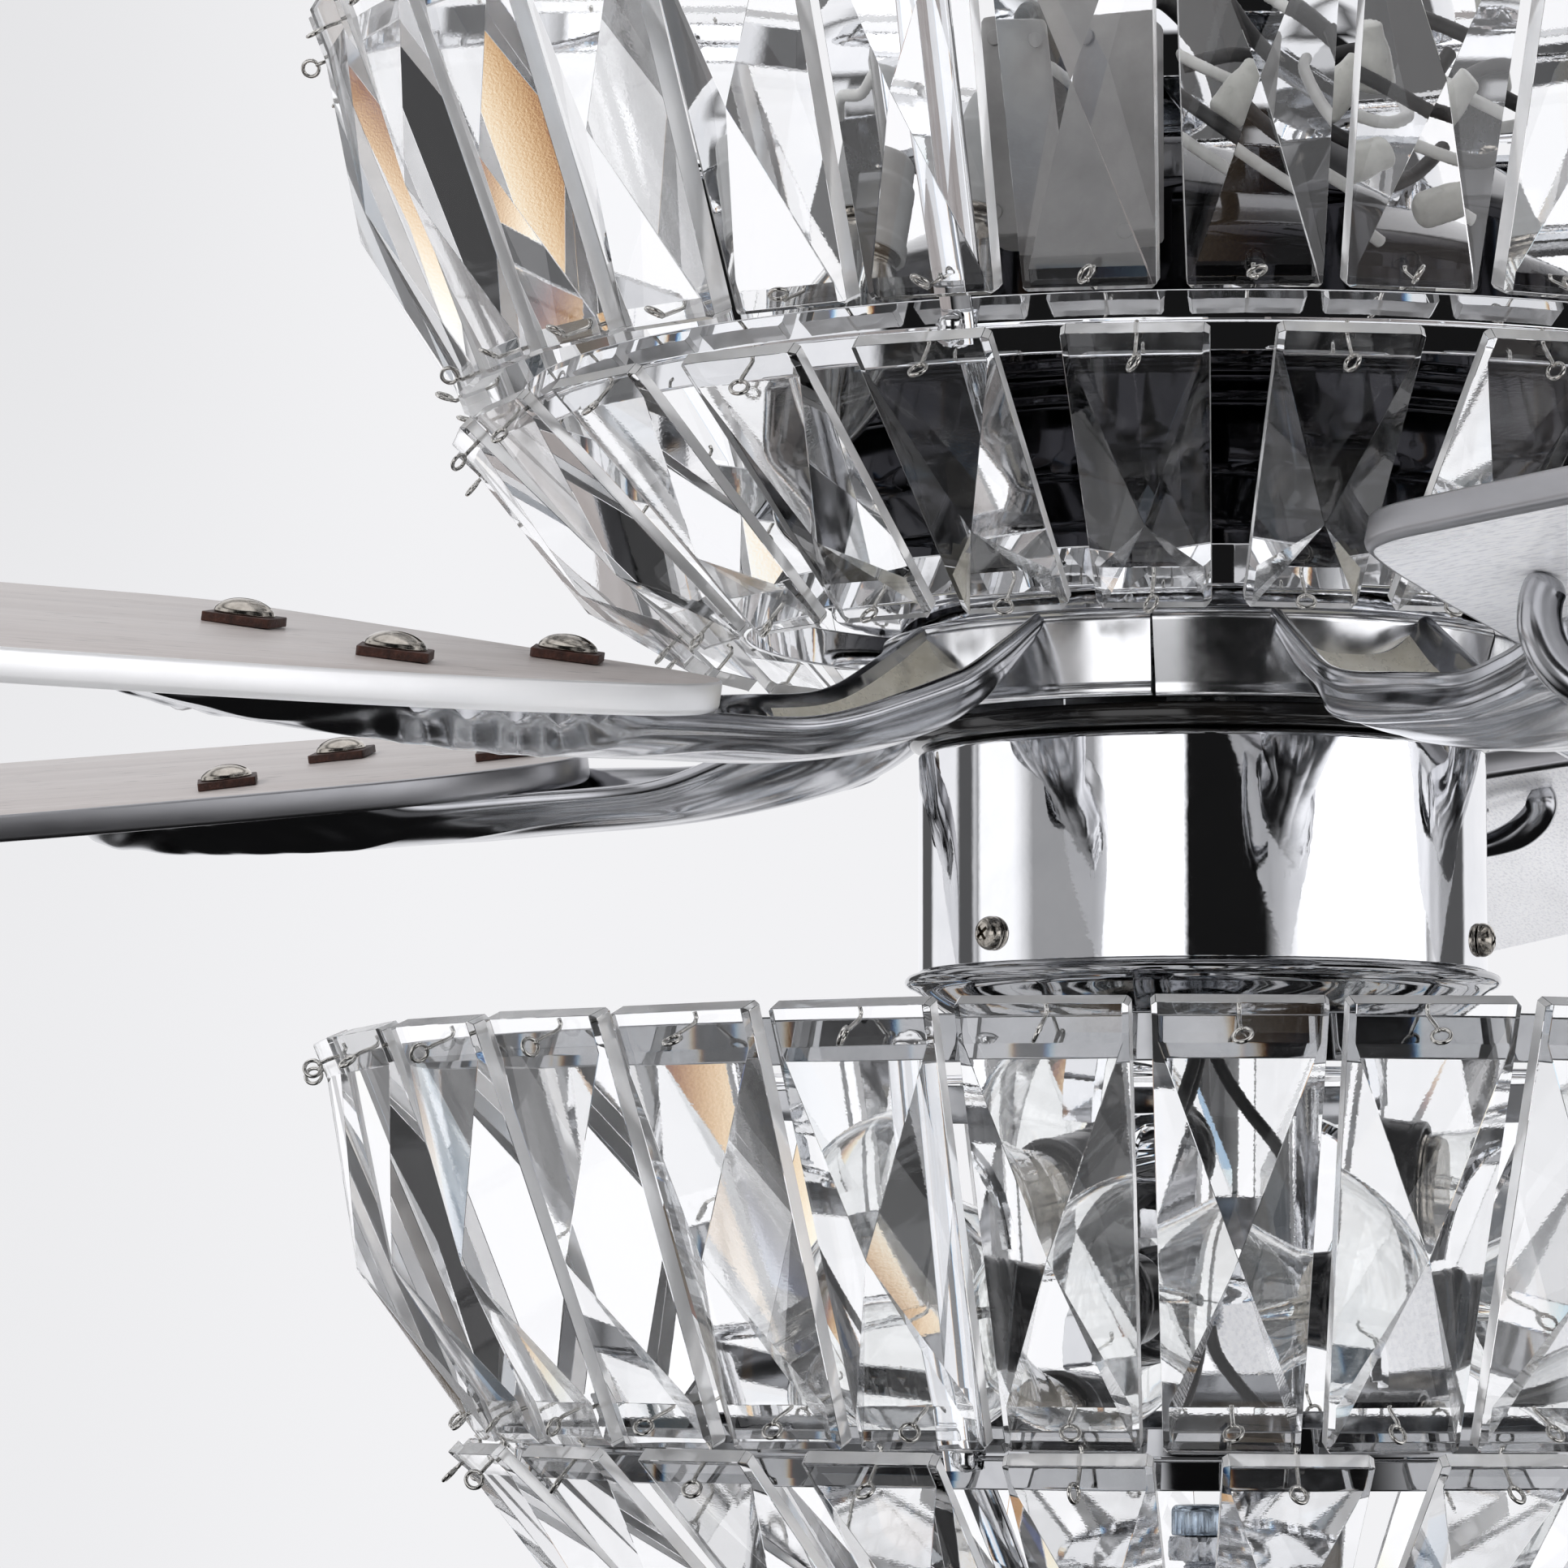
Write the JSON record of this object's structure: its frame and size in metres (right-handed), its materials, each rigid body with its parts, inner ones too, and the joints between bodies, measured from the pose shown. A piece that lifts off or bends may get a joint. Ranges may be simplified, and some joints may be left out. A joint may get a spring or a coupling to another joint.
{
  "type": "ceiling fan",
  "caption": "Downrod ceiling fan with wooden blades on chrome scroll irons, a faceted crystal bowl round the motor, and a second crystal bowl below with clear lamps inside.",
  "frame": {"origin": "middle of the ceiling bracket's flat top face, which lies against the ceiling", "axes": "+Z is the ceiling face's outward normal, up along the downrod and the fan's axis; -Y is the front, the side the picture is taken from"},
  "size_m": [1.2623, 1.2625, 0.616],
  "materials": {
    "zinc": "zinc plated, satin",
    "chrome": "polished mirror chrome",
    "dark_chrome": "polished black chrome",
    "nickel": "antique nickel, polished",
    "steel": "turned steel",
    "windings": "laminated steel with varnished copper windings",
    "black_plastic": "black, moulded",
    "white_plastic": "grey white, moulded",
    "blade_board": "taupe wood grain on the top, brushed silver underneath and on the edge",
    "crystal": "clear faceted crystal",
    "bulb_glass": "clear bulb glass"
  },
  "bodies": {
    "ceiling_mount": {"ceiling_bracket": "zinc", "canopy": "chrome", "canopy_screw_1": "nickel", "canopy_screw_2": "nickel"},
    "hanging_fan": {"motor_yoke": "zinc", "upper_lamp_plate": "zinc", "light_pipe": "zinc", "pipe_nut": "zinc", "finial_pipe": "zinc", "finial_nut": "zinc", "downrod": "chrome", "coupling_cover": "chrome", "switch_housing": "chrome", "fitter_pan": "chrome", "upper_frame": "chrome", "lower_frame": "chrome", "base_cap": "chrome", "finial": "chrome", "housing_screw_1": "nickel", "housing_screw_2": "nickel", "housing_screw_3": "nickel", "ball_pin": "steel", "yoke_pin": "steel", "motor_shaft": "steel", "upper_bearing": "steel", "lower_bearing": "steel", "stator": "windings", "hanger_ball": "black_plastic", "switch_plate": "black_plastic", "lamp_cluster": "black_plastic", "receiver_lead": "black_plastic", "receiver_box": "white_plastic", "upper_crystals_long": "crystal", "upper_crystals_short": "crystal", "lower_crystals_long": "crystal", "lower_crystals_short": "crystal", "base_crystals": "crystal", "upper_bulb_1": "bulb_glass", "upper_bulb_2": "bulb_glass", "upper_bulb_3": "bulb_glass", "lower_bulb_1": "bulb_glass", "lower_bulb_2": "bulb_glass", "lower_bulb_3": "bulb_glass"},
    "rotor": {"motor_can": "dark_chrome", "rotor_hub": "chrome", "blade_iron_1": "chrome", "blade_iron_2": "chrome", "blade_iron_3": "chrome", "blade_iron_4": "chrome", "blade_iron_5": "chrome", "blade_1": "blade_board", "blade_2": "blade_board", "blade_3": "blade_board", "blade_4": "blade_board", "blade_5": "blade_board", "blade_screws_1": "nickel", "blade_screws_2": "nickel", "blade_screws_3": "nickel", "blade_screws_4": "nickel", "blade_screws_5": "nickel"}
  },
  "joints": [
    {"name": "downrod_tilt", "type": "hinge", "parent": "ceiling_mount", "child": "hanging_fan", "pos_m": [0, 0, -0.034], "axis": [0, 1, 0], "range_deg": [-15, 15]},
    {"name": "fan_spin", "type": "hinge", "parent": "hanging_fan", "child": "rotor", "pos_m": [0, 0, -0.269], "axis": [0, 0, 1], "continuous": true}
  ]
}
